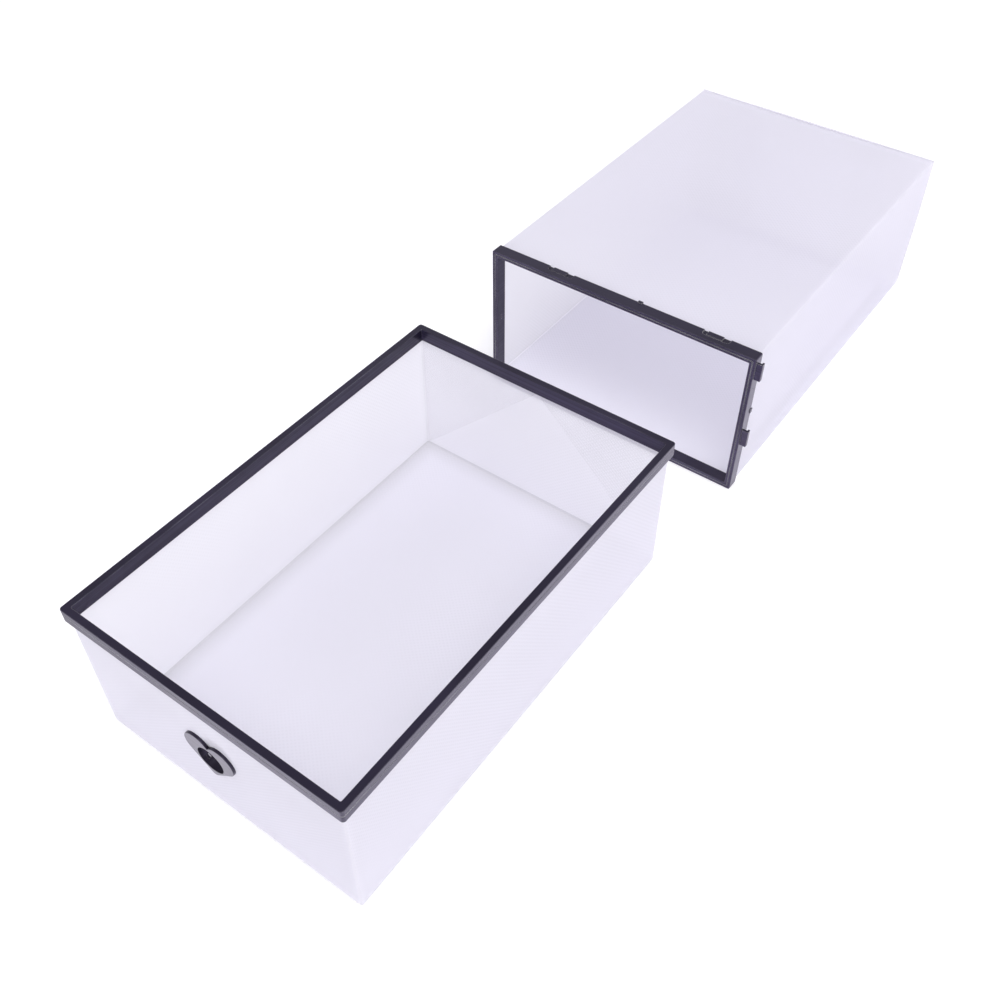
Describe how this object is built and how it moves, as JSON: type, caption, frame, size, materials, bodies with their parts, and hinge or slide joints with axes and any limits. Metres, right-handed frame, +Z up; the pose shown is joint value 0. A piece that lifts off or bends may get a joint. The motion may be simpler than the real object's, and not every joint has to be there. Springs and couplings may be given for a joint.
{
  "type": "drawer shoe box",
  "caption": "Stackable shoe box: a clear folded drawer with a dark rim and heart-shaped pull slides into a clear folded sleeve with a dark front frame.",
  "frame": {"origin": "middle of the front frame's underside, at the centre of the sleeve's width and halfway through the frame's depth", "axes": "+Y runs from the front frame to the back of the sleeve, the way the drawer is pushed in; +Z is up; +X is to the right seen from the front"},
  "size_m": [0.2146, 0.7015, 0.1189],
  "materials": {
    "clear_sheet": "frosted clear polypropylene sheet with a fine twill emboss",
    "dark_moulding": "satin injection moulding",
    "pull_moulding": "satin injection moulding"
  },
  "bodies": {
    "sleeve": {"sleeve_sheet": "clear_sheet", "sleeve_frame": "dark_moulding"},
    "back_flap": {"sleeve_back_flap": "clear_sheet"},
    "drawer": {"drawer_tray": "clear_sheet", "drawer_rim": "dark_moulding", "pull_heart": "pull_moulding", "pull_collar": "pull_moulding"}
  },
  "joints": [
    {"name": "drawer_slide", "type": "slide", "parent": "sleeve", "child": "drawer", "axis": [0, 1, 0], "range_m": [0, 0.3991]},
    {"name": "back_flap_hinge", "type": "hinge", "parent": "sleeve", "child": "back_flap", "pos_m": [0, 0.3057, 0.11725], "axis": [1, 0, 0], "range_deg": [0, 90]}
  ]
}
